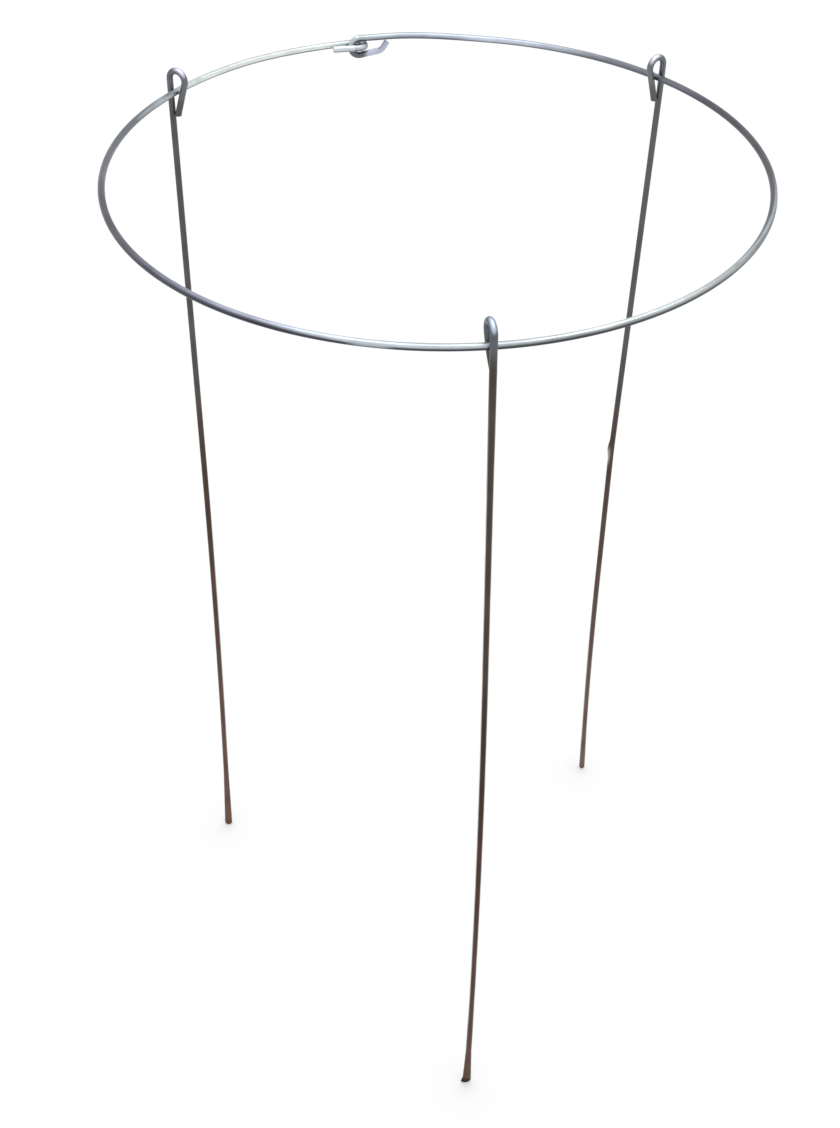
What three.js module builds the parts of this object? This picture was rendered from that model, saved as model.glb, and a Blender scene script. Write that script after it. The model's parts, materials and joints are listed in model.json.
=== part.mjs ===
// A plant support made of four bent wires: an open hoop, and three legs that hang on it.
// Each leg's top is bent back on itself into a crook that the hoop runs through, so the
// leg swings about the hoop's wire. The hoop's own ends are linked as a hook and an eye.
//
// Millimetres and degrees. +Z is up and z = 0 is the ground that the three feet stand on.
// The origin is below the centre of the hoop, +Y points to the back, +X to the right.

import * as THREE from 'three';

const { degToRad, lerp, smoothstep } = THREE.MathUtils;

// Wire
const wireDiameter = 3.76;
const wireClearance = 0.44;
const wireColour = 0x9a9c9f;
const wireRoughness = 0.38;
const wireMetalness = 0.9;
const legColour = 0x6d625c;
const legRoughness = 0.5;

// Whole object
const hoopDiameter = 356;
const overallHeight = 608;

// Crook at the top of each leg
const crookPinDiameter = 6.84;
const crookReturnAngle = 18;
const crookLength = 26.9;

// Hook and eye that close the hoop
const closureAzimuth = 106;
const closureOverlap = 8.8;
const closureRun = 21;
const closureEase = 60;
const hookPinDiameter = 6.8;
const hookReturnAngle = 8;
const hookStrand = 11;
const hookCurlDiameter = 10;
const hookCurlAngle = 48;
const hookRise = 2.1;
const eyePinDiameter = 5.4;
const eyeReturnAngle = 8;
const eyeStrand = 16;
const eyeDrop = 2;
const eyeOutset = 2.6;

// Foot of each leg, hammered flat
const spadeWidth = 6;
const spadeLength = 56;
const spadeCorner = 1.8;
const toeLength = 7;

// Facets
const wireSides = 12;
const hoopStep = 3;
const bendStep = 14;
const shankSteps = 18;
const spadeSteps = 7;
const cornerSteps = 3;

// Where each leg hangs on the hoop, how far it is turned in its slack there, how far the end
// of its crook is tucked sideways, how its foot lies away from the spot below its crook, how
// its shank is bent on the way, and how far its spade reaches up, spreads, turns and runs out
// into a toe. `out` is away from the hoop's centre, `along` and `tuck` are round the hoop, and
// all three are shares of the hoop's height. A spade's length and width are shares of the
// largest one's, and a toe is a share of the spade's width.
const legShares = [
  {
    name: 'leg_left',
    azimuth: 147.9,
    twist: 2,
    tuck: 0,
    foot: { out: -0.025, along: 0.0464 },
    bends: [{ depth: 0.7, ease: 0.29, out: -0.0076, along: -0.0011 }],
    spade: { length: 1, width: 0.94, turn: -30, toe: 0 },
  },
  {
    name: 'leg_right',
    azimuth: 43.3,
    twist: -5,
    tuck: 0,
    foot: { out: -0.0021, along: 0.0139 },
    bends: [
      { depth: 0.455, ease: 0.02, out: -0.0074, along: 0.0005 },
      { depth: 0.8, ease: 0.15, out: -0.0065, along: 0.0005 },
    ],
    spade: { length: 1, width: 0.72, turn: 38, toe: 0 },
  },
  {
    name: 'leg_front',
    azimuth: -82.2,
    twist: 7,
    tuck: 0.0025,
    foot: { out: -0.0233, along: 0.0117 },
    bends: [{ depth: 0.67, ease: 0.32, out: 0.0002, along: 0.0067 }],
    spade: { length: 0.66, width: 1, turn: 97, toe: -0.26 },
  },
];

// Sizes that follow from those above
const wireRadius = wireDiameter / 2;
const wireSpacing = wireDiameter + wireClearance;
const hoopRadius = hoopDiameter / 2;
const crookRadius = (crookPinDiameter + wireDiameter) / 2;
const crookSeatDrop = (crookRadius - wireSpacing) / Math.tan(degToRad(crookReturnAngle) / 2);
const crookRise = crookSeatDrop + crookRadius + wireRadius;
const hoopHeight = overallHeight - crookRise;

// A wire's centreline in a plane, fed and bent as a wire bender does it: each move is a
// straight feed and then a bend. It starts at the origin, heading along -X.
function bentWire(moves) {
  const points = [new THREE.Vector2()];
  let heading = Math.PI;
  for (const { feed = 0, radius = 0, angle = 0 } of moves) {
    const from = points[points.length - 1];
    const to = new THREE.Vector2(Math.cos(heading), Math.sin(heading)).multiplyScalar(feed).add(from);
    if (feed > 0) points.push(to);
    if (angle !== 0) {
      const clockwise = angle < 0;
      const start = clockwise ? heading + Math.PI / 2 : heading - Math.PI / 2;
      const centreX = to.x - radius * Math.cos(start);
      const centreY = to.y - radius * Math.sin(start);
      const bend = new THREE.EllipseCurve(centreX, centreY, radius, radius, start, start + angle, clockwise);
      const steps = Math.ceil(Math.abs(angle) / degToRad(bendStep));
      points.push(...bend.getPoints(steps).slice(1));
      heading += angle;
    }
  }
  return points;
}

// How far apart the two strands of a bent-back wire stand, so far behind the middle of the
// crown: the short strand closes on the long one at an angle.
function opening(radius, angle, behind) {
  return radius * (1 + 1 / Math.cos(angle)) - behind * Math.tan(angle);
}

// A closed wire along a centreline. Each station gets a ring of points square to the wire,
// carried from one to the next without twist, and both ends are cut flat.
function sweptWire(centreline, startSide, sectionAt) {
  const positions = [];
  const side = startSide.clone();
  const last = centreline.length - 1;
  centreline.forEach((centre, station) => {
    const before = centreline[Math.max(station - 1, 0)];
    const after = centreline[Math.min(station + 1, last)];
    const ahead = new THREE.Vector3().subVectors(after, centre).normalize();
    const behind = new THREE.Vector3().subVectors(centre, before).normalize();
    const along = ahead.add(behind).normalize();
    side.addScaledVector(along, -side.dot(along)).normalize();
    const face = new THREE.Vector3().crossVectors(side, along);
    const section = sectionAt(station);
    const turn = degToRad(section.turn);
    for (let k = 0; k < wireSides; k += 1) {
      const angle = (2 * Math.PI * k) / wireSides;
      const wide = (section.width / 2) * Math.cos(angle) + section.shift;
      const deep = (section.depth / 2) * Math.sin(angle);
      const point = centre.clone();
      point.addScaledVector(face, wide * Math.cos(turn) - deep * Math.sin(turn));
      point.addScaledVector(side, wide * Math.sin(turn) + deep * Math.cos(turn));
      if (section.level !== undefined) point.z = section.level;
      positions.push(point.x, point.y, point.z);
    }
  });

  const index = [];
  for (let station = 0; station < last; station += 1) {
    for (let k = 0; k < wireSides; k += 1) {
      const next = (k + 1) % wireSides;
      const a = station * wireSides + k;
      const b = station * wireSides + next;
      index.push(a, b, a + wireSides, b, b + wireSides, a + wireSides);
    }
  }
  const endRing = last * wireSides;
  for (let k = 1; k < wireSides - 1; k += 1) {
    index.push(0, k + 1, k);
    index.push(endRing, endRing + k, endRing + k + 1);
  }

  const geometry = new THREE.BufferGeometry();
  geometry.setAttribute('position', new THREE.Float32BufferAttribute(positions, 3));
  geometry.setIndex(index);
  geometry.computeVertexNormals();
  return geometry;
}

function roundSection() {
  return { width: wireDiameter, depth: wireDiameter, turn: 0, shift: 0 };
}

// A place near the hoop: how far clockwise from the closure, how far out from the hoop's
// circle and how far above its plane.
function besideHoop(clockwise, out, up) {
  const azimuth = degToRad(closureAzimuth) - clockwise / hoopRadius;
  const reach = hoopRadius + out;
  return new THREE.Vector3(reach * Math.cos(azimuth), reach * Math.sin(azimuth), hoopHeight + up);
}

// One wire, from the hook's cut end, over its crown, right round the hoop, and over the
// eye's crown to the eye's cut end. The hook stands upright and the eye lies flat, and each
// has the other's crown inside it. The hook's end curls up until it meets its own wire.
function hoopWire() {
  const hookRadius = (hookPinDiameter + wireDiameter) / 2;
  const hookAngle = degToRad(hookReturnAngle);
  const curlRadius = hookCurlDiameter / 2;
  const curlAngle = degToRad(hookCurlAngle);
  const hookMoves = [
    { radius: hookRadius, angle: Math.PI + hookAngle },
    { feed: hookStrand, radius: curlRadius, angle: curlAngle },
  ];
  const curled = bentWire(hookMoves).pop();
  const endSlope = hookAngle + curlAngle;
  const meeting = wireRadius + wireClearance + wireRadius * Math.cos(endSlope);
  hookMoves.push({ feed: (-curled.y - meeting) / Math.sin(endSlope) });

  const eyeRadius = (eyePinDiameter + wireDiameter) / 2;
  const eyeAngle = degToRad(eyeReturnAngle);
  const eyeMoves = [{ radius: eyeRadius, angle: Math.PI + eyeAngle }, { feed: eyeStrand }];

  // The hook passes midway between the eye's strands
  const hookInset = opening(eyeRadius, eyeAngle, closureOverlap - eyeRadius) / 2 - eyeOutset;
  const hook = bentWire(hookMoves)
    .map((p) => besideHoop(hookRadius - closureOverlap / 2 + p.x, -hookInset, hookRise + p.y))
    .reverse();
  const eye = bentWire(eyeMoves)
    .map((p) => besideHoop(closureOverlap / 2 - eyeRadius - p.x, eyeOutset + p.y, -eyeDrop));

  // Past the closure each strand eases on to the true circle
  const circle = [];
  const around = 2 * Math.PI * hoopRadius;
  const steps = Math.ceil(360 / hoopStep);
  for (let step = 0; step <= steps; step += 1) {
    const clockwise = lerp(closureRun, around - closureRun, step / steps);
    const fromHook = 1 - smoothstep(clockwise, closureRun, closureRun + closureEase);
    const fromEye = smoothstep(clockwise, around - closureRun - closureEase, around - closureRun);
    const out = eyeOutset * fromEye - hookInset * fromHook;
    const up = hookRise * fromHook - eyeDrop * fromEye;
    circle.push(besideHoop(clockwise, out, up));
  }
  return sweptWire([...hook, ...circle, ...eye], new THREE.Vector3(0, 0, 1), roundSection);
}

// How far a rounded tent with its top at `top`, and slopes to 0 at both ends, stands at u.
// All are shares of the hoop's height.
function tent(u, top, ease) {
  const rise = 1 / top;
  const fall = -1 / (1 - top);
  const start = top - ease;
  if (u <= 0) return 0;
  if (u <= start) return rise * u;
  if (u >= top + ease) return 1 + fall * (u - top);
  const x = u - start;
  return rise * start + rise * x + ((fall - rise) / (4 * ease)) * x * x;
}

// Heights below the hoop at which the shank has a station: even ones, closer ones through
// a kink, and closer ones down the spade and round its corners.
function shankDepths(leg) {
  const toSpade = hoopHeight - spadeLength * leg.spade.length;
  const depths = [];
  for (let step = 0; step <= shankSteps; step += 1) {
    depths.push(lerp(-crookSeatDrop, toSpade, step / shankSteps));
  }
  for (const kink of leg.bends.filter((bend) => bend.ease < 1 / shankSteps)) {
    for (let step = -cornerSteps; step <= cornerSteps; step += 1) {
      depths.push(hoopHeight * (kink.depth + (kink.ease * step) / cornerSteps));
    }
  }
  for (let step = 1; step <= spadeSteps; step += 1) {
    depths.push(lerp(toSpade, hoopHeight - spadeCorner, step / spadeSteps));
  }
  for (let step = 1; step <= cornerSteps; step += 1) {
    const angle = (Math.PI / 2) * (step / cornerSteps);
    depths.push(hoopHeight - spadeCorner * (1 - Math.sin(angle)));
  }
  return depths.sort((a, b) => a - b);
}

// The wire's section at a height above the ground: round, then flatter towards the foot with
// the same area of metal, and rounded off at the corners.
function legSection(spade, height) {
  const flat = Math.max(1 - height / (spadeLength * spade.length), 0);
  const width = lerp(wireDiameter, spadeWidth * spade.width, flat);
  const intoCorner = Math.max(spadeCorner - height, 0);
  const cut = spadeCorner - Math.sqrt(spadeCorner * spadeCorner - intoCorner * intoCorner);
  const intoToe = Math.max(toeLength - height, 0) / toeLength;
  const toe = spadeWidth * spade.toe * intoToe * intoToe;
  return {
    width: width + Math.abs(toe) - 2 * cut,
    depth: (wireDiameter * wireDiameter) / width,
    turn: spade.turn,
    shift: toe / 2,
  };
}

// One leg, with the hoop's wire at the origin, +X out from the hoop and +Y round it. The
// shank passes outside the hoop, and the crook's short strand comes down inside it.
function legWire(leg) {
  const angle = degToRad(crookReturnAngle);
  const closing = crookRadius + crookRadius * Math.cos(angle) - wireSpacing;
  const strand = (closing - crookRadius * (1 - Math.cos(angle))) / Math.sin(angle);
  const crookMoves = [
    { radius: crookRadius, angle: Math.PI + angle },
    { feed: strand, radius: crookRadius, angle: -angle },
  ];
  const closed = bentWire(crookMoves).pop();
  crookMoves.push({ feed: crookLength - crookRadius - closed.x });
  const crook = bentWire(crookMoves)
    .map((p) => new THREE.Vector2(wireSpacing + p.y, crookSeatDrop - p.x))
    .reverse();
  const shank = shankDepths(leg).map((depth) => new THREE.Vector2(wireSpacing, -depth));
  const route = [...crook, ...shank.slice(1)];

  const centreline = route.map((p) => {
    const share = -p.y / hoopHeight;
    const inner = p.x < wireSpacing / 2;
    const intoTuck = inner ? Math.max(crookSeatDrop - p.y, 0) / (crookLength - crookRadius) : 0;
    let out = leg.foot.out * share;
    let along = leg.foot.along * share + leg.tuck * intoTuck * intoTuck;
    for (const bend of leg.bends) {
      const bent = tent(share, bend.depth, bend.ease);
      out += bend.out * bent;
      along += bend.along * bent;
    }
    return new THREE.Vector3(p.x + hoopHeight * out, hoopHeight * along, p.y);
  });

  const last = route.length - 1;
  return sweptWire(centreline, new THREE.Vector3(0, 1, 0), (station) => {
    const height = station < crook.length ? hoopHeight : hoopHeight + route[station].y;
    const section = legSection(leg.spade, height);
    return station === last ? { ...section, level: -hoopHeight } : section;
  });
}

function wireMaterial(colour, roughness) {
  return new THREE.MeshStandardMaterial({ color: colour, roughness, metalness: wireMetalness });
}

const support = new THREE.Group();

const hoop = new THREE.Mesh(hoopWire(), wireMaterial(wireColour, wireRoughness));
hoop.name = 'ring_hoop';
support.add(hoop);

for (const leg of legShares) {
  const seat = new THREE.Group();
  const azimuth = degToRad(leg.azimuth);
  seat.position.set(hoopRadius * Math.cos(azimuth), hoopRadius * Math.sin(azimuth), hoopHeight);
  seat.rotation.z = azimuth + degToRad(leg.twist);
  const mesh = new THREE.Mesh(legWire(leg), wireMaterial(legColour, legRoughness));
  mesh.name = leg.name;
  seat.add(mesh);
  support.add(seat);
}

export default support;
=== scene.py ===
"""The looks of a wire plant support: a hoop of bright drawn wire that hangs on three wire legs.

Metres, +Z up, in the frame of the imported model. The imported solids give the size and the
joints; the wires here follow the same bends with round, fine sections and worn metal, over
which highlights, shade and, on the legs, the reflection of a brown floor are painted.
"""

import json
import math

import bpy
from mathutils import Matrix, Vector


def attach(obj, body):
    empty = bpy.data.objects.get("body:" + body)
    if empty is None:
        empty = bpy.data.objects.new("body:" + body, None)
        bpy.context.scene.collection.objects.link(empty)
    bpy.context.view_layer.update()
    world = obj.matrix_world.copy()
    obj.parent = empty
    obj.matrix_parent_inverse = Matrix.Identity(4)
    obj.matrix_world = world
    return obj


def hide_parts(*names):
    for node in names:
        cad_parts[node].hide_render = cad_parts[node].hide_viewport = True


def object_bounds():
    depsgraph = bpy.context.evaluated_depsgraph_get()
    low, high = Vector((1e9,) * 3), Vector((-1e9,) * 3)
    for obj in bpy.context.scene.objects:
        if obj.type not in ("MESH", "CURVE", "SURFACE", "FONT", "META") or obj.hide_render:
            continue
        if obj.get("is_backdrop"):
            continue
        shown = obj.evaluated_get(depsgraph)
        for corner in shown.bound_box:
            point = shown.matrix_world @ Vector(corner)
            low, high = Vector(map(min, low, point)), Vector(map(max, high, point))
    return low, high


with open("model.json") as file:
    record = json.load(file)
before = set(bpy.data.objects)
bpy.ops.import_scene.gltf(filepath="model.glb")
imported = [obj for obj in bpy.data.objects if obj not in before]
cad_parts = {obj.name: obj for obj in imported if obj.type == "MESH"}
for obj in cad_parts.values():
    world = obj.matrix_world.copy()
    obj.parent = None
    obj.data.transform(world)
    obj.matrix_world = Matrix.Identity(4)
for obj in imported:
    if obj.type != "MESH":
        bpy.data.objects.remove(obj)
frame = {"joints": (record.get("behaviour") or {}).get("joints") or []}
cad_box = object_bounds()

MM = 0.001
UP = Vector((0, 0, 1))

# Wire
WIRE = 3.76 * MM
CLEARANCE = 0.44 * MM

# Cut end of a wire: how far its eased edge reaches, the stations there, each as a share of
# that reach and of the wire's width, and the share of the reach before the next station
END_BEVEL = 0.45 * MM
END_SHARES = [(0, 0.72), (0.3, 0.93), (1, 1)]
END_CLEAR_SHARE = 1.5

# Crook at the top of each leg
CROOK_PIN = 6.84 * MM
CROOK_ANGLE = math.radians(18)
CROOK_LENGTH = 26.9 * MM

# Hook and eye that close the hoop
CLOSURE_AZIMUTH = math.radians(106)
CLOSURE_OVERLAP = 8.8 * MM
CLOSURE_RUN = 21 * MM
CLOSURE_EASE = 60 * MM
HOOK_PIN = 6.8 * MM
HOOK_ANGLE = math.radians(8)
HOOK_STRAND = 11 * MM
HOOK_CURL_PIN = 10 * MM
HOOK_CURL_ANGLE = math.radians(48)
HOOK_TIP_GAP = 0.3 * MM
HOOK_RISE = 2.1 * MM
EYE_PIN = 5.4 * MM
EYE_ANGLE = math.radians(8)
EYE_STRAND = 16 * MM
EYE_DROP = 2 * MM
EYE_OUTSET = 2.6 * MM

# Foot of each leg, and how narrowly round the wire the hammer marks lie, as a power
SPADE_WIDTH = 6 * MM
SPADE_LENGTH = 56 * MM
SPADE_CORNER = 1.8 * MM
TOE_LENGTH = 7 * MM
HAMMER_PITCH = 7 * MM
HAMMER_DEPTH = 0.16 * MM
HAMMER_POWER = 3

# How each leg hangs and is bent, in shares of the hoop's height: `foot` is how far out and how
# far round the hoop it stands, `tuck` is how far round the crook's end lies, and a bend is its
# depth, its ease and how far out and round it goes. A spade's length, width and toe are shares
# of the sizes above, and `twist` and `turn` are degrees.
LEG_SHARES = {
    "leg_left": {
        "twist": 2,
        "tuck": 0,
        "foot": (-0.025, 0.0464),
        "bends": [(0.7, 0.29, -0.0076, -0.0011)],
        "spade": {"length": 1, "width": 0.94, "turn": -30, "toe": 0},
    },
    "leg_right": {
        "twist": -5,
        "tuck": 0,
        "foot": (-0.0021, 0.0139),
        "bends": [(0.455, 0.02, -0.0074, 0.0005), (0.8, 0.15, -0.0065, 0.0005)],
        "spade": {"length": 1, "width": 0.72, "turn": 38, "toe": 0},
    },
    "leg_front": {
        "twist": 7,
        "tuck": 0.0025,
        "foot": (-0.0233, 0.0117),
        "bends": [(0.67, 0.32, 0.0002, 0.0067)],
        "spade": {"length": 0.66, "width": 1, "turn": 97, "toe": -0.26},
    },
}

# Burr on the kink of the right leg: its depth as a share of the hoop's height, how far it
# reaches to either side in its own lengths, and where and how narrowly it lies round the wire
BURR_LEG = "leg_right"
BURR_DEPTH_SHARE = 0.455
BURR_LENGTH = 6.5 * MM
BURR_HEIGHT = 1.0 * MM
BURR_REACH = 1.4
BURR_ANGLE = math.radians(-10)
BURR_POWER = 3

# Fineness of the swept wires: the sides of their section and their steps, as lengths, an
# angle and numbers of them round the hoop, in a spade's corner and in a length of the burr
SIDES = 28
FEED_STEP = 1 * MM
BEND_STEP = math.radians(4)
HOOP_STEPS = 360
SHANK_STEP = 4 * MM
SPADE_STEP = 0.8 * MM
CORNER_STEPS = 8
BURR_STEPS = 8

# Sizes that follow
WIRE_RADIUS = WIRE / 2
SPACING = WIRE + CLEARANCE
CROOK_RADIUS = (CROOK_PIN + WIRE) / 2
CROOK_SEAT_DROP = (CROOK_RADIUS - SPACING) / math.tan(CROOK_ANGLE / 2)
HOOK_RADIUS = (HOOK_PIN + WIRE) / 2
EYE_RADIUS = (EYE_PIN + WIRE) / 2

# The centre and the axis of each leg's hinge, which is the hoop's wire
HINGES = {j["child"]: (Vector(j["pos_m"]), Vector(j["axis"])) for j in frame["joints"]}
HOOP_HEIGHT = HINGES["leg_front"][0].z
HOOP_RADIUS = HINGES["leg_front"][0].to_2d().length


def mix(a, b, share):
    return a + (b - a) * share


def ramp(x, low, high):
    """0 below low and 1 above high, in a straight line between them."""
    return min(max((x - low) / (high - low), 0), 1)


def smoothstep(x, low, high):
    """0 below low and 1 above high, in a smooth curve between them."""
    t = ramp(x, low, high)
    return t * t * (3 - 2 * t)


def between(x, start, stop):
    """1 between a smooth start and a smooth stop, each a low and a high value of x."""
    return smoothstep(x, *start) * (1 - smoothstep(x, *stop))


def placed(name, data):
    """A new object in the scene that shows a mesh, a light or a camera."""
    made = bpy.data.objects.new(name, data)
    bpy.context.scene.collection.objects.link(made)
    return made


# Wires

# What a wire's surface carries for its metal: its shares of painted highlight, of the way
# through the dull colours, of the palest colour of that highlight, and of the hue shift
TONES = ("bright", "warm", "pale", "hue")


def bent_wire(moves):
    """The centreline of a wire in a plane, as straight feeds and bends, heading along -X."""
    points = [Vector((0, 0))]
    heading = math.pi
    for feed, radius, angle in moves:
        start = points[-1]
        end = start + Vector((math.cos(heading), math.sin(heading))) * feed
        if feed > 0:
            steps = max(1, round(feed / FEED_STEP))
            points += [start.lerp(end, k / steps) for k in range(1, steps + 1)]
        if angle:
            first = heading - math.copysign(math.pi / 2, angle)
            centre = end - Vector((math.cos(first), math.sin(first))) * radius
            steps = math.ceil(abs(angle) / BEND_STEP)
            for k in range(1, steps + 1):
                a = first + angle * k / steps
                points.append(centre + Vector((math.cos(a), math.sin(a))) * radius)
            heading += angle
    return points


def with_bevel(points):
    """A centreline with closer stations at its first end, where the cut end is eased."""
    first, ahead = points[0], (points[1] - points[0]).normalized()
    clear = END_BEVEL * END_CLEAR_SHARE
    rest = [p for p in points if (p - first).dot(ahead) > clear or (p - first).length > WIRE]
    return [first + ahead * END_BEVEL * share for share, _ in END_SHARES] + rest


def end_scale(from_end):
    """The scale of the section, by the number of stations from a cut end."""
    return END_SHARES[from_end][1] if from_end < len(END_SHARES) else 1


class Section:
    """A wire's outline at one station: round, or hammered flatter and wider.

    `turn` is how many degrees its wide side is turned about the wire, `shift` is how far it is
    moved along that side, `dent` is how deep the hammer went, `burr` is how high the burr
    stands, and `on_ground` says that the outline lies flat on the ground.
    """

    def __init__(self, width, depth, turn=0, shift=0, dent=0, burr=0, on_ground=False):
        self.width = width
        self.depth = depth
        self.turn = turn
        self.shift = shift
        self.dent = dent
        self.burr = burr
        self.on_ground = on_ground

    def corner(self, angle):
        """Where the outline is at an angle round it, along both axes across the wire."""
        burr = self.burr * max(math.cos(angle - BURR_ANGLE), 0) ** BURR_POWER
        dent = self.dent * math.sin(angle) ** HAMMER_POWER
        wide = (self.width / 2 + burr) * math.cos(angle) + self.shift
        deep = (self.depth / 2 + burr) * math.sin(angle) - dent
        turn = math.radians(self.turn)
        return (
            wide * math.cos(turn) - deep * math.sin(turn),
            wide * math.sin(turn) + deep * math.cos(turn),
        )


def stations(points, start_side):
    """Each station of a centreline, as its place, the two axes across the wire and its run.

    The axes are carried along without twist.
    """
    side, run = start_side, 0
    for i, centre in enumerate(points):
        after, before = points[min(i + 1, len(points) - 1)], points[max(i - 1, 0)]
        ahead, behind = (after - centre).normalized(), (centre - before).normalized()
        along = (ahead + behind).normalized()
        side = (side - along * side.dot(along)).normalized()
        run += (centre - before).length
        yield centre, side.cross(along), side, run


def swept_wire(name, points, start_side, section_at, tones_at):
    """A closed wire along a centreline.

    section_at gives the wire's section at a station, and tones_at gives the share of each of
    the TONES from the station and the way that the surface faces.
    """
    corners, tones, drawn = [], [], []
    for station, (centre, face, side, run) in enumerate(stations(points, start_side)):
        section = section_at(station)
        for k in range(SIDES):
            angle = 2 * math.pi * k / SIDES
            wide, deep = section.corner(angle)
            offset = face * wide + side * deep
            corner = centre + offset
            corner.z = 0 if section.on_ground else max(corner.z, 0)
            corners.append(tuple(corner))
            tones.append(tones_at(station, (offset - face * section.shift).normalized()))
            drawn += (math.cos(angle) * WIRE_RADIUS, math.sin(angle) * WIRE_RADIUS, run)

    quads = []
    for station in range(len(points) - 1):
        for k in range(SIDES):
            a, b = station * SIDES + k, station * SIDES + (k + 1) % SIDES
            quads.append((a, b, b + SIDES, a + SIDES))
    caps = [tuple(reversed(range(SIDES))), tuple(range(len(corners) - SIDES, len(corners)))]

    mesh = bpy.data.meshes.new(name)
    mesh.from_pydata(corners, [], quads + caps)
    for title, values in zip(TONES, zip(*tones)):
        mesh.attributes.new(title, "FLOAT", "POINT").data.foreach_set("value", values)
    mesh.attributes.new("drawn", "FLOAT_VECTOR", "POINT").data.foreach_set("vector", drawn)
    mesh.polygons.foreach_set("use_smooth", [True] * len(quads) + [False] * len(caps))
    mesh.update()
    return placed(name, mesh)


# Hoop


def beside_hoop(clockwise, out, up):
    """A place near the hoop: clockwise from the closure, out from the circle, and above it."""
    azimuth = CLOSURE_AZIMUTH - clockwise / HOOP_RADIUS
    reach = HOOP_RADIUS + out
    return Vector((reach * math.cos(azimuth), reach * math.sin(azimuth), HOOP_HEIGHT + up))


def hook_wire():
    """The hook, from the hoop to its tip, which curls up to just below the hoop's wire."""
    moves = [(0, HOOK_RADIUS, math.pi + HOOK_ANGLE)]
    moves.append((HOOK_STRAND, HOOK_CURL_PIN / 2, HOOK_CURL_ANGLE))
    tip_slope = HOOK_ANGLE + HOOK_CURL_ANGLE
    tip_drop = WIRE_RADIUS + HOOK_TIP_GAP + WIRE_RADIUS * math.cos(tip_slope)
    moves.append(((-bent_wire(moves)[-1].y - tip_drop) / math.sin(tip_slope), 0, 0))
    return bent_wire(moves)


def hoop_route():
    """The centreline of the hoop, from the hook's cut end to the eye's, with the number of
    stations in the hook and in the eye's short strand."""
    behind = CLOSURE_OVERLAP - EYE_RADIUS
    opening = EYE_RADIUS * (1 + 1 / math.cos(EYE_ANGLE)) - behind * math.tan(EYE_ANGLE)
    inset = opening / 2 - EYE_OUTSET
    hook_at = HOOK_RADIUS - CLOSURE_OVERLAP / 2
    hook = [beside_hoop(hook_at + p.x, -inset, HOOK_RISE + p.y) for p in hook_wire()]
    eye_at = CLOSURE_OVERLAP / 2 - EYE_RADIUS
    eye_wire = bent_wire([(0, EYE_RADIUS, math.pi + EYE_ANGLE), (EYE_STRAND, 0, 0)])
    eye = [beside_hoop(eye_at - p.x, EYE_OUTSET + p.y, -EYE_DROP) for p in eye_wire]

    circle = []
    around = 2 * math.pi * HOOP_RADIUS
    ease = (CLOSURE_RUN, CLOSURE_RUN + CLOSURE_EASE)
    for step in range(HOOP_STEPS + 1):
        clockwise = mix(CLOSURE_RUN, around - CLOSURE_RUN, step / HOOP_STEPS)
        near_hook = 1 - smoothstep(clockwise, *ease)
        near_eye = 1 - smoothstep(around - clockwise, *ease)
        out = EYE_OUTSET * near_eye - inset * near_hook
        up = HOOK_RISE * near_hook - EYE_DROP * near_eye
        circle.append(beside_hoop(clockwise, out, up))
    route = with_bevel(hook[::-1]) + circle + eye
    return with_bevel(route[::-1])[::-1], len(hook), round(EYE_STRAND / FEED_STEP)


# Stretches of the hoop where a tone shows, each as how much of it there is, its middle, and
# how far it reaches to either side, in degrees round the hoop; the share of that reach where
# there is all of it; and the least painted light anywhere. The light, shade, band, crest,
# streak and side stretches place painted highlights and painted shade, the warm ones paint
# the dull metal lighter, and pale and hue are tints.
HOOP_STRETCHES = {
    "front light": [(0.84, -76, 66), (0.14, -101, 18), (0.1, -140, 25)],
    "back light": [(1, 86, 40), (1, 128, 40), (0.22, 54, 32)],
    "back shade": [(0.12, 96, 15)],
    "light below": [(1, 120, 90), (-0.55, 96, 17), (0.7, -100, 4)],
    "narrow band": [(1, -132, 34)],
    "soft band": [(1, -58, 32)],
    "dull crest": [(0.38, 100, 90), (0.3, -85, 18)],
    "bright crest": [(0.26, -127, 24)],
    "right streak": [(0.62, -24, 26)],
    "left streak": [(0.8, 151, 15)],
    "left side": [(1, 174, 26)],
    "warm right": [(0.55, 14, 70), (0.28, 48, 20)],
    "warm left": [(0.55, 172, 46), (0.38, -152, 30)],
    "pale": [(1, 127, 30), (0.8, -56, 36)],
    "hue": [(0.5, 60, 60), (1, -132, 28)],
}
STRETCH_CORE_SHARE = 0.35
LEAST_LIGHT = 0.03

# Painted highlight along the top of the hoop: how far up the surface faces where it starts and
# where it is full, and how much higher both are where the band is narrow or soft
BAND = (-0.08, 0.42)
NARROW_BAND = (0.36, 0.48)
SOFT_BAND = (0, 0.6)

# Other places round the hoop's section, by how far up or in the surface faces there, and how
# bright the underside and the left side are: painted shade on the underside and on the dull
# crest, and painted highlights on the bright crest and on the inner left side
UNDERSIDE = (-0.5, -0.1)
UNDERSIDE_BRIGHT = 0.15
DULL_CREST = (0.55, 0.95)
BRIGHT_CREST = (0.65, 1)
INNER_SIDE = (0.2, 0.8)
SIDE_BRIGHT = (0.12, 0.22)

# Painted highlights in streaks along the hoop: how far beside its line a streak fades, how far
# up the left one faces, and how far out the right one gets to face, between which azimuths
STREAK_EDGE = (0.15, 0.6)
LEFT_STREAK_UP = 0.5
RIGHT_STREAK_OUT = 0.5
RIGHT_STREAK_TURN = (-40, -10)

# Hook: how far clockwise of the closure its crown ends, the heights over the hoop where its
# lower half ends, and how bright and pale it is: a painted highlight on its strand and on the
# top of its crown, and painted shade under the crown's lower half
HOOK_CROWN = (3 * MM, 6.5 * MM)
HOOK_LOWER = (-4.5 * MM, -1.5 * MM)
HOOK_STRAND_BRIGHT = 0.9
HOOK_CROWN_UP = (-0.5, 0.3)
HOOK_LOWER_BRIGHT = 0.14
HOOK_LOWER_PALE = 0.6

# Eye: how bright its short strand is, from where it faces down to where it faces up: painted
# shade below and a painted highlight on top
EYE_UP = (-0.5, 0)
EYE_BRIGHT = (0.35, 0.95)


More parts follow.
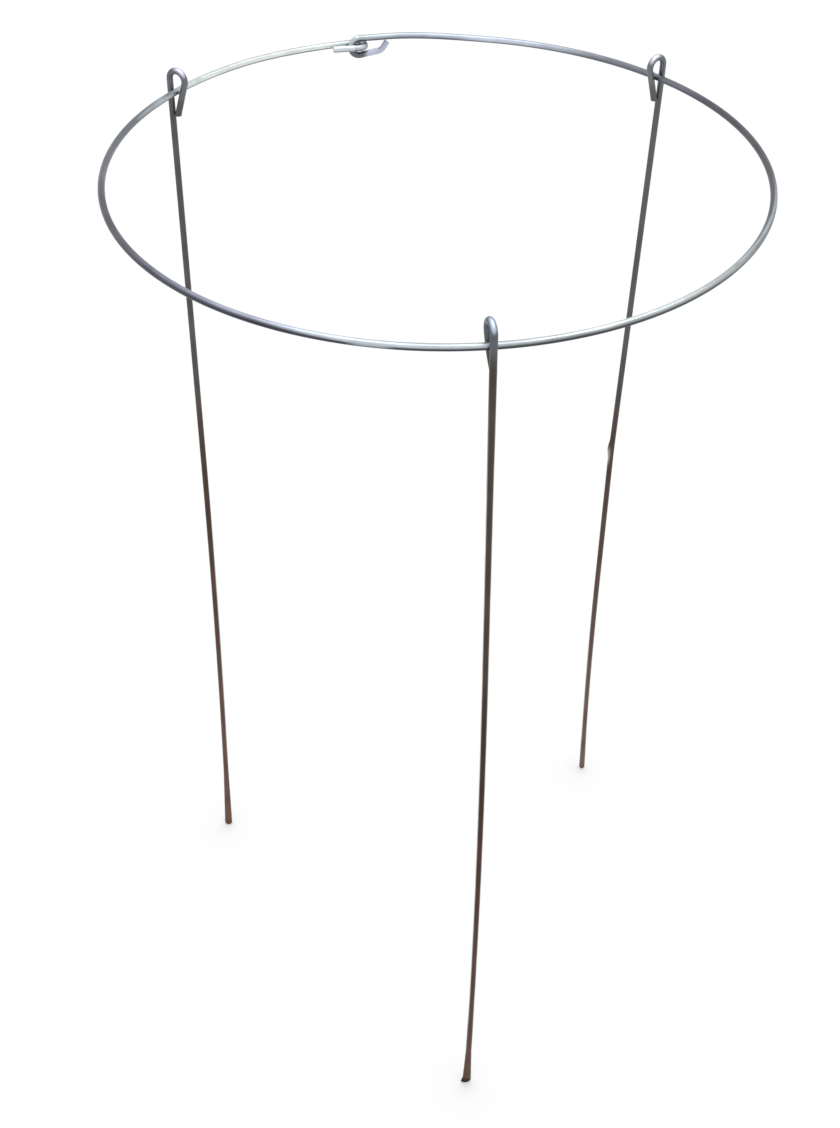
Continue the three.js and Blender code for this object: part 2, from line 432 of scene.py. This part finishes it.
def stretch_shares(title, azimuth):
    """How much there is at an azimuth, in degrees, of each of the stretches with a title."""
    shares = []
    for amount, middle, reach in HOOP_STRETCHES[title]:
        away = abs((azimuth - middle + 180) % 360 - 180)
        shares.append(amount * (1 - smoothstep(away, STRETCH_CORE_SHARE * reach, reach)))
    return shares


def streak(facing, line):
    """1 on a line along a wire, falling to 0 beside it."""
    return 1 - smoothstep(abs(facing - line), *STREAK_EDGE)


def hoop_tones(place, facing):
    """The tones of the hoop, from a place on it and the way that the surface faces: painted
    highlights and shade, the dull metal painted lighter, and tints.
    """
    azimuth = math.degrees(math.atan2(place.y, place.x))
    outward = (facing.x * place.x + facing.y * place.y) / HOOP_RADIUS

    def added(title):
        return sum(stretch_shares(title, azimuth))

    def strongest(title):
        return max(stretch_shares(title, azimuth))

    narrow, soft = added("narrow band"), added("soft band")
    band = [b + n * narrow + s * soft for b, n, s in zip(BAND, NARROW_BAND, SOFT_BAND)]
    back = strongest("back light") * (1 - added("back shade"))
    # Painted highlights round the hoop, fading to painted shade on the underside and the dull
    # crests
    bright = max(added("front light"), back, LEAST_LIGHT)
    bright *= mix(max(added("light below"), 0), 1, smoothstep(facing.z, *band))
    bright *= mix(UNDERSIDE_BRIGHT, 1, smoothstep(facing.z, *UNDERSIDE))
    bright *= 1 - added("dull crest") * smoothstep(facing.z, *DULL_CREST)
    bright += added("bright crest") * smoothstep(facing.z, *BRIGHT_CREST)

    # Painted highlights in streaks and on the inner left side
    right_line = RIGHT_STREAK_OUT * ramp(azimuth, *RIGHT_STREAK_TURN)
    right = added("right streak") * streak(outward, right_line)
    left = added("left streak") * streak(facing.z, LEFT_STREAK_UP)
    side = added("left side") * mix(*SIDE_BRIGHT, smoothstep(-outward, *INNER_SIDE))
    # The dull metal, painted lighter on the right and the left
    warm = added("warm right") + strongest("warm left")
    return max(bright, right, left, side), warm, strongest("pale"), strongest("hue")


def hook_tones(place, facing):
    """How bright, pale and hue-shifted the hook is, as painted highlights, painted shade and
    tints.
    """
    clockwise = (CLOSURE_AZIMUTH - math.atan2(place.y, place.x)) * HOOP_RADIUS
    crown = 1 - smoothstep(clockwise, *HOOK_CROWN)
    lower = 1 - smoothstep(place.z - HOOP_HEIGHT, *HOOK_LOWER)
    crown_bright = mix(smoothstep(facing.z, *HOOK_CROWN_UP), HOOK_LOWER_BRIGHT, lower)
    bright = mix(HOOK_STRAND_BRIGHT, crown_bright, crown)
    return bright, HOOK_LOWER_PALE * crown * lower, 1 - crown


def build_hoop():
    route, hook_count, eye_count = hoop_route()
    count = len(route)

    def section(station):
        size = WIRE * end_scale(min(station, count - 1 - station))
        return Section(size, size)

    def tones(station, facing):
        bright, warm, pale, hue = hoop_tones(route[station], facing)
        # The hook and the eye's short strand have their own painted highlights and painted shade
        if station < hook_count:
            bright, pale, hue = hook_tones(route[station], facing)
        if station >= count - eye_count:
            bright = mix(*EYE_BRIGHT, smoothstep(facing.z, *EYE_UP))
        return bright, warm, pale, hue

    hoop = swept_wire("hoop_wire", route, UP, section, tones)
    hoop.data.materials.append(wire_material("bright_wire", HOOP_METAL))
    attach(hoop, "hoop")
    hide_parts("ring_hoop")


# Legs


def tent(u, top, ease):
    """How far a rounded tent with its top at `top`, and slopes to 0 at both ends, stands at u."""
    rise, fall = 1 / top, -1 / (1 - top)
    start = top - ease
    if u <= 0:
        return 0
    if u <= start:
        return rise * u
    if u >= top + ease:
        return 1 + fall * (u - top)
    x = u - start
    return rise * start + rise * x + (fall - rise) / (4 * ease) * x * x


def past_burr(depth):
    """How far down past the middle of the burr a depth below the hoop is, in its lengths."""
    return (depth - HOOP_HEIGHT * BURR_DEPTH_SHARE) / BURR_LENGTH


def shank_depths(spade_length):
    """Depths below the hoop of the stations down a leg."""
    to_spade = HOOP_HEIGHT - spade_length
    to_corner = HOOP_HEIGHT - SPADE_CORNER
    even = int((to_spade + CROOK_SEAT_DROP) / SHANK_STEP)
    depths = [mix(-CROOK_SEAT_DROP, to_spade, k / even) for k in range(1, even + 1)]
    steps = int((spade_length - SPADE_CORNER) / SPADE_STEP)
    depths += [mix(to_spade, to_corner, k / steps) for k in range(1, steps + 1)]
    for k in range(1, CORNER_STEPS + 1):
        into_corner = math.sin(math.pi / 2 * k / CORNER_STEPS)
        depths.append(HOOP_HEIGHT - SPADE_CORNER * (1 - into_corner))
    steps = math.ceil(BURR_REACH * BURR_STEPS)
    for k in range(-steps, steps + 1):
        depths.append(HOOP_HEIGHT * BURR_DEPTH_SHARE + k * BURR_LENGTH / BURR_STEPS)
    return sorted(depths)


def crook_plan():
    """The crook from its cut end, as places out from the hinge and up from it."""
    closing = CROOK_RADIUS + CROOK_RADIUS * math.cos(CROOK_ANGLE) - SPACING
    strand = (closing - CROOK_RADIUS * (1 - math.cos(CROOK_ANGLE))) / math.sin(CROOK_ANGLE)
    moves = [(0, CROOK_RADIUS, math.pi + CROOK_ANGLE), (strand, CROOK_RADIUS, -CROOK_ANGLE)]
    moves.append((CROOK_LENGTH - CROOK_RADIUS - bent_wire(moves)[-1].x, 0, 0))
    return [Vector((SPACING + p.y, CROOK_SEAT_DROP - p.x)) for p in reversed(bent_wire(moves))]


def leg_axes(name):
    """The centre of a leg's hinge, and the ways out from the hoop and round it there, both
    turned by the leg's twist."""
    centre, tangent = HINGES[name]
    twist = Matrix.Rotation(math.radians(LEG_SHARES[name]["twist"]), 3, "Z")
    return centre, twist @ tangent.cross(UP), twist @ tangent


def leg_route(name):
    """The centreline of a leg, from the crook's cut end to the ground, with the number of
    stations in the crook."""
    shares = LEG_SHARES[name]
    centre, out, round_it = leg_axes(name)
    shank = shank_depths(SPADE_LENGTH * shares["spade"]["length"])
    plan = crook_plan() + [Vector((SPACING, -depth)) for depth in shank]

    def place(p):
        share = -p.y / HOOP_HEIGHT
        into_tuck = 0
        if p.x < SPACING / 2:
            into_tuck = max(CROOK_SEAT_DROP - p.y, 0) / (CROOK_LENGTH - CROOK_RADIUS)
        away = shares["foot"][0] * share
        along = shares["foot"][1] * share + shares["tuck"] * into_tuck**2
        for top, ease, bend_out, bend_along in shares["bends"]:
            bent = tent(share, top, ease)
            away += bend_out * bent
            along += bend_along * bent
        outward, sideways = out * (p.x + HOOP_HEIGHT * away), round_it * HOOP_HEIGHT * along
        return centre + outward + sideways + UP * p.y

    route = with_bevel([place(p) for p in plan])
    return route, len(route) - len(shank)


def leg_section(spade, height):
    """The wire's section at a height above the ground: round, then hammered flatter."""
    flat = max(1 - height / (SPADE_LENGTH * spade["length"]), 0)
    width = mix(WIRE, SPADE_WIDTH * spade["width"], flat)
    into_corner = max(SPADE_CORNER - height, 0)
    cut = SPADE_CORNER - math.sqrt(SPADE_CORNER**2 - into_corner**2)
    into_toe = max(TOE_LENGTH - height, 0) / TOE_LENGTH
    run_out = SPADE_WIDTH * spade["toe"] * into_toe**2
    blow = math.sin(math.pi * height / HAMMER_PITCH) ** 2
    return Section(
        width=width + abs(run_out) - 2 * cut,
        depth=WIRE * WIRE / width,
        turn=spade["turn"],
        shift=run_out / 2,
        dent=HAMMER_DEPTH * blow * flat,
    )


# What differs from leg to leg: `tint` is how light and warm the metal is, `hue_shift` is how
# its colour differs at the crook, `shine` is where the crook's painted highlight lies, out and up
# from the middle of its crown, `flank_sheen` is the stretch of the shank with painted highlights
# on its flanks, in shares of the hoop's height, and how bright they are, and `dark_toe` is how
# dark the toe is
LEG_LOOKS = {
    "leg_left": {
        "tint": (1.02, 1.02, 1.0),
        "hue_shift": (1.0, 0.96, 1.07),
        "shine": (-0.45, 0.89),
        "flank_sheen": (0.55, 0.9, 0.4),
        "dark_toe": 0,
    },
    "leg_right": {
        "tint": (1.1, 1.2, 1.24),
        "hue_shift": (1.0, 0.98, 1.03),
        "shine": (-0.4, 0.92),
        "flank_sheen": (0.75, 0.97, 0.4),
        "dark_toe": 0,
    },
    "leg_front": {
        "tint": (0.73, 0.63, 0.54),
        "hue_shift": (0.9, 1.01, 1.13),
        "shine": (0.45, 0.9),
        "flank_sheen": (0.1, 0.9, 0.95),
        "dark_toe": 1,
    },
}

# Crook: the spread of its painted highlight over the crown and over the way that the surface
# faces, how much painted light all of it has, and the heights over the hoop where it gets that
# painted light and the hue shift
SPOT_REACH = (0.55, 0.95)
SPOT_FACING = Vector((0, -0.5, 0.86))
SPOT_SPREAD = (0.5, 0.92)
CROOK_LIGHT = 0.12
LIGHT_HEIGHTS = (-8 * MM, 2 * MM)
HUE_HEIGHTS = (-14 * MM, 2 * MM)

# Shank: how far about its two ends the stretch with painted highlights on its flanks comes and
# goes, in shares of the hoop's height, how far to the side and how far back the surface faces
# where those highlights start and stop, and how bright they are where they turn pale
FLANK_SHEEN_START = (-0.08, 0.08)
FLANK_SHEEN_STOP = (-0.06, 0.02)
FLANK_SIDE = (0.72, 0.9)
FLANK_BACK = (0.1, 0.6)
FLANK_PALE = (0, 0.1)

# Toe: the share of the dull colours that the shank goes through, where a darkened toe has the
# rest, and the share of the toe's length that is dark in full
SHANK_DULL_SHARE = 0.94
TOE_DARK_SHARE = 1 / 3

# Lighter left side of the shank below the burr, in lengths of the burr and by how far left the
# surface faces
BELOW_BURR_BRIGHT = 0.4
BELOW_BURR_START = (-0.7, 0.5)
BELOW_BURR_STOP = (1, 2.4)
BELOW_BURR_LEFT = (0.1, 0.9)


def flank_brightness(name, depth, facing):
    """How bright the sides of a leg's shank are: painted highlights on its flanks, and a lighter
    left side below the burr.
    """
    start, stop, amount = LEG_LOOKS[name]["flank_sheen"]
    share = depth / HOOP_HEIGHT
    # Painted highlights on the flanks of the shank
    sheen = amount * smoothstep(share - start, *FLANK_SHEEN_START)
    sheen *= 1 - smoothstep(share - stop, *FLANK_SHEEN_STOP)
    sheen *= smoothstep(abs(facing.x), *FLANK_SIDE) * (1 - smoothstep(facing.y, *FLANK_BACK))
    if name != BURR_LEG:
        return sheen
    # A lighter left side below the burr
    below_burr = between(past_burr(depth), BELOW_BURR_START, BELOW_BURR_STOP)
    return max(sheen, BELOW_BURR_BRIGHT * below_burr * smoothstep(-facing.x, *BELOW_BURR_LEFT))


def leg_tones(name, place, facing):
    """The tones of a leg, from a place on it and the way that the surface faces: painted
    highlights and light on the crook and flanks, and the dull colours down the leg.
    """
    look = LEG_LOOKS[name]
    centre, out, _ = leg_axes(name)
    from_hinge = place - centre
    depth = max(-from_hinge.z, 0)

    crown_out = SPACING - CROOK_RADIUS
    from_crown = Vector((from_hinge.dot(out) - crown_out, from_hinge.z - CROOK_SEAT_DROP))
    # The crook's painted highlight, and painted light on the top of the crook
    shine = from_crown.dot(Vector(look["shine"]).normalized()) / CROOK_RADIUS
    spot = smoothstep(shine, *SPOT_REACH) * smoothstep(facing.dot(SPOT_FACING), *SPOT_SPREAD)
    crook = max(spot, CROOK_LIGHT * smoothstep(from_hinge.z, *LIGHT_HEIGHTS))
    flank = flank_brightness(name, depth, facing)
    toe = 1 - smoothstep(HOOP_HEIGHT - depth, TOE_LENGTH * TOE_DARK_SHARE, TOE_LENGTH)
    # Down the leg the dull colours are a painted reflection of a brown floor, and a soiled toe
    # goes darker still
    warm = mix(toe * look["dark_toe"], depth / HOOP_HEIGHT, SHANK_DULL_SHARE)
    pale = smoothstep(flank, *FLANK_PALE)
    return crook + flank, warm, pale, smoothstep(from_hinge.z, *HUE_HEIGHTS)


def build_leg(name):
    route, crook_count = leg_route(name)
    last = len(route) - 1

    def section(station):
        height = route[station].z if station >= crook_count else HOOP_HEIGHT
        made = leg_section(LEG_SHARES[name]["spade"], height)
        made.width *= end_scale(station)
        made.depth *= end_scale(station)
        made.on_ground = station == last
        if name == BURR_LEG:
            past = past_burr(HOOP_HEIGHT - height)
            made.burr = BURR_HEIGHT * between(past, (-BURR_REACH, 0), (0, BURR_REACH))
        return made

    def tones(station, facing):
        return leg_tones(name, route[station], facing)

    leg = swept_wire(name + "_wire", route, leg_axes(name)[2], section, tones)
    leg.data.materials.append(wire_material(name + "_metal", {**LEG_METAL, **LEG_LOOKS[name]}))
    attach(leg, name)
    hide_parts(name)


# Metal

# Colours in linear light: `dull` goes from grey to warm round the hoop and from the top of a
# leg to its foot; round the hoop its lighter end is painted light on the dull metal, and down a
# leg it is a painted reflection of a brown floor. `bright` is the colour of the painted
# highlights and `pale` the whitest of it. `mottle` is how much the patches vary, and `tint` and
# `hue_shift` are as in the legs' looks.
HOOP_METAL = {
    "dull": [(0, (0.052, 0.054, 0.062)), (1, (0.13, 0.128, 0.144))],
    "bright": (0.57, 0.64, 0.69),
    "pale": (0.77, 0.83, 0.81),
    "mottle": 0.16,
    "tint": (1, 1, 1),
    "hue_shift": (1.0, 0.95, 1.09),
}
LEG_METAL = {
    "dull": [
        (0, (0.1, 0.097, 0.093)),
        (0.3, (0.094, 0.083, 0.078)),
        (0.42, (0.068, 0.044, 0.035)),
        (0.62, (0.098, 0.056, 0.047)),
        (0.8, (0.125, 0.074, 0.062)),
        (0.93, (0.138, 0.083, 0.062)),
        (1, (0.06, 0.028, 0.026)),
    ],
    "bright": (0.66, 0.7, 0.79),
    "pale": (0.88, 0.84, 0.82),
    "mottle": 0.18,
}

# Grain: each noise's scale, its detail and the share of its scale along the wire, the values
# that a noise lies between, and what it makes of the brightness, roughness and relief
LINES = (2600, 2, 0.04)
MOTTLE = (420, 4, 0.45)
PATCHES = (70, 2, 0.6)
NOISE_RANGE = (0.3, 0.7)
MOTTLED_BRIGHT = (0.9, 1.04)
LINED_BRIGHT = (0.9, 1.05)
ROUGHNESS = (0.3, 0.44)
RELIEF_STRENGTH = 0.25
RELIEF_DEPTH = 0.06 * MM
METALLIC = 0.92


def add_node(tree, kind, inputs, **settings):
    """A new shader node, with its settings, and a value or a node's output for each input."""
    made = tree.nodes.new("ShaderNode" + kind)
    for key, value in settings.items():
        setattr(made, key, value)
    for key, value in inputs.items():
        if isinstance(value, bpy.types.NodeSocket):
            tree.links.new(value, made.inputs[key])
        else:
            made.inputs[key].default_value = value
    return made


def wire_material(name, look):
    """Drawn and galvanised wire: mottled galvanising, fine lines along it, worn patches, and dull
    colours under painted highlights.
    """
    material = bpy.data.materials.new(name)
    material.use_nodes = True
    tree = material.node_tree
    tree.nodes.clear()

    def attribute(title):
        return add_node(tree, "Attribute", {}, attribute_name=title)

    def tone(title):
        return attribute(title).outputs["Fac"]

    def product(a, b, kind="Math"):
        return add_node(tree, kind, {0: a, 1: b}, operation="MULTIPLY").outputs[0]

    def noise(scale, detail, along):
        place = product(drawn, (1, 1, along), "VectorMath")
        inputs = {"Vector": place, "Scale": scale, "Detail": detail}
        return add_node(tree, "TexNoise", inputs).outputs["Fac"]

    def spread(noise_value, low, high):
        """A noise stretched to lie from low to high."""
        inputs = {"Value": noise_value, "To Min": low, "To Max": high}
        inputs["From Min"], inputs["From Max"] = NOISE_RANGE
        return add_node(tree, "MapRange", inputs).outputs["Result"]

    def blend(share, low, high):
        """A colour from low to high, through the sockets of a Mix node that are for colours."""
        low, high = ((*c, 1) if isinstance(c, tuple) else c for c in (low, high))
        return add_node(tree, "Mix", {0: share, 6: low, 7: high}, data_type="RGBA").outputs[2]

    drawn = attribute("drawn").outputs["Vector"]
    lines, mottle, patches = noise(*LINES), noise(*MOTTLE), noise(*PATCHES)

    dull = add_node(tree, "ValToRGB", {"Fac": tone("warm")})
    stops = dull.color_ramp.elements
    for position, colour in look["dull"][1:-1]:
        stops.new(position).color = (*colour, 1)
    stops[0].color = (*look["dull"][0][1], 1)
    stops[-1].color = (*look["dull"][-1][1], 1)

    # The painted highlights, varied by the grain
    bright = product(tone("bright"), spread(mottle, *MOTTLED_BRIGHT))
    bright = product(bright, spread(lines, *LINED_BRIGHT))
    tinted = product(dull.outputs["Color"], look["tint"], "VectorMath")
    # The colour of the painted highlights, from bright to pale
    highlight_colour = blend(tone("pale"), look["bright"], look["pale"])
    # A violet or blue shift of the colour, where the hue tone is
    hue_shift = blend(tone("hue"), (1, 1, 1), look["hue_shift"])
    metal = product(blend(bright, tinted, highlight_colour), hue_shift, "VectorMath")
    patched = spread(patches, 1 - look["mottle"], 1 + look["mottle"])
    worn = add_node(tree, "HueSaturation", {"Color": metal, "Value": patched})

    relief = {"Strength": RELIEF_STRENGTH, "Distance": RELIEF_DEPTH, "Height": lines}
    surface = {
        "Base Color": worn.outputs["Color"],
        "Metallic": METALLIC,
        "Roughness": spread(mottle, *ROUGHNESS),
        "Normal": add_node(tree, "Bump", relief).outputs["Normal"],
    }
    shader = add_node(tree, "BsdfPrincipled", surface)
    add_node(tree, "OutputMaterial", {"Surface": shader.outputs["BSDF"]})
    return material


# Stage

# Light, where 1 shows a white thing as white: the sun and the sky share it out, and the lift
# brings the floor to white where it shows
FLOOR = 0.9
FLOOR_LIFT = 0.13
FLOOR_REACH = 30
SKY = 0.55
SUN = 0.45
SUN_ANGLE = math.radians(54)
SUN_FROM = Vector((0.1, 0.1, 1))
SUN_COLOUR = (0.97, 0.985, 1)


def seen_ray(tree):
    """1 for a ray that shows the background: to the camera, off gloss or through glass."""
    path = add_node(tree, "LightPath", {})
    total = path.outputs["Is Camera Ray"]
    for title in ("Is Glossy Ray", "Is Transmission Ray"):
        either = {0: total, 1: path.outputs[title]}
        total = add_node(tree, "Math", either, operation="MAXIMUM").outputs[0]
    return total


def build_floor():
    """A plain pale floor that shows as white and keeps the shadow of the wires."""
    mesh = bpy.data.meshes.new("floor")
    signs = ((-1, -1), (1, -1), (1, 1), (-1, 1))
    corners = [(x * FLOOR_REACH, y * FLOOR_REACH, 0) for x, y in signs]
    mesh.from_pydata(corners, [], [(0, 1, 2, 3)])
    floor = placed("floor", mesh)
    material = bpy.data.materials.new("pale_floor")
    material.use_nodes = True
    tree = material.node_tree
    shader = tree.nodes["Principled BSDF"]
    shader.inputs["Base Color"].default_value = (FLOOR, FLOOR, FLOOR, 1)
    shader.inputs["Roughness"].default_value = 1
    shader.inputs["Specular IOR Level"].default_value = 0
    seen = {0: seen_ray(tree), 1: FLOOR_LIFT}
    strength = add_node(tree, "Math", seen, operation="MULTIPLY").outputs[0]
    glow = add_node(tree, "Emission", {"Strength": strength})
    both = {0: shader.outputs["BSDF"], 1: glow.outputs["Emission"]}
    surface = add_node(tree, "AddShader", both).outputs[0]
    tree.links.new(surface, tree.nodes["Material Output"].inputs["Surface"])
    floor.data.materials.append(material)
    floor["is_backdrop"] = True


def build_world():
    """Plain white light from all round, and white behind the floor's edge."""
    world = bpy.data.worlds.new("studio")
    world.use_nodes = True
    tree = world.node_tree
    background = tree.nodes["Background"]
    background.inputs["Color"].default_value = (1, 1, 1, 1)
    levels = {"Value": seen_ray(tree), "To Min": SKY, "To Max": 1}
    strength = add_node(tree, "MapRange", levels).outputs["Result"]
    tree.links.new(strength, background.inputs["Strength"])
    bpy.context.scene.world = world


def build_sun():
    """One broad soft light from above."""
    light = bpy.data.lights.new("sun", "SUN")
    light.energy = SUN * math.pi
    light.angle = SUN_ANGLE
    light.color = SUN_COLOUR
    placed("sun", light).rotation_euler = (-SUN_FROM).to_track_quat("-Z", "Y").to_euler()


# Camera, about the hoop's centre, and its lens for a frame as high as the photograph's
CAMERA_OFFSET = Vector((-7.1, -837.1, 414.6)) * MM
CAMERA_PITCH = math.radians(39.44)
CAMERA_ROLL = math.radians(0.62)
PHOTO_HEIGHT_PX = 1128
FOCAL_PX = 1700
SENSOR = 36


def build_camera():
    """A camera that looks along +Y and down, with a small roll."""
    cos_pitch, sin_pitch = math.cos(CAMERA_PITCH), math.sin(CAMERA_PITCH)
    forward = Vector((0, cos_pitch, -sin_pitch))
    right, up = Vector((1, 0, 0)), Vector((0, sin_pitch, cos_pitch))
    rolled_right = right * math.cos(CAMERA_ROLL) + up * math.sin(CAMERA_ROLL)
    rolled_up = up * math.cos(CAMERA_ROLL) - right * math.sin(CAMERA_ROLL)
    turned = Matrix((rolled_right, rolled_up, -forward)).transposed()
    lens = bpy.data.cameras.new("camera")
    lens.sensor_fit = "VERTICAL"
    lens.sensor_height = SENSOR
    lens.lens = SENSOR * FOCAL_PX / PHOTO_HEIGHT_PX
    camera = placed("camera", lens)
    camera.matrix_world = Matrix.Translation(CAMERA_OFFSET + UP * HOOP_HEIGHT) @ turned.to_4x4()
    bpy.context.scene.camera = camera


build_hoop()
for leg_name in LEG_SHARES:
    build_leg(leg_name)
build_floor()
build_world()
build_sun()
build_camera()
bpy.context.scene.view_settings.view_transform = "Standard"

boxes = {"cad": cad_box, "visual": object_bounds()}
{k: [[float(x) for x in corner] for corner in box] for k, box in boxes.items()}
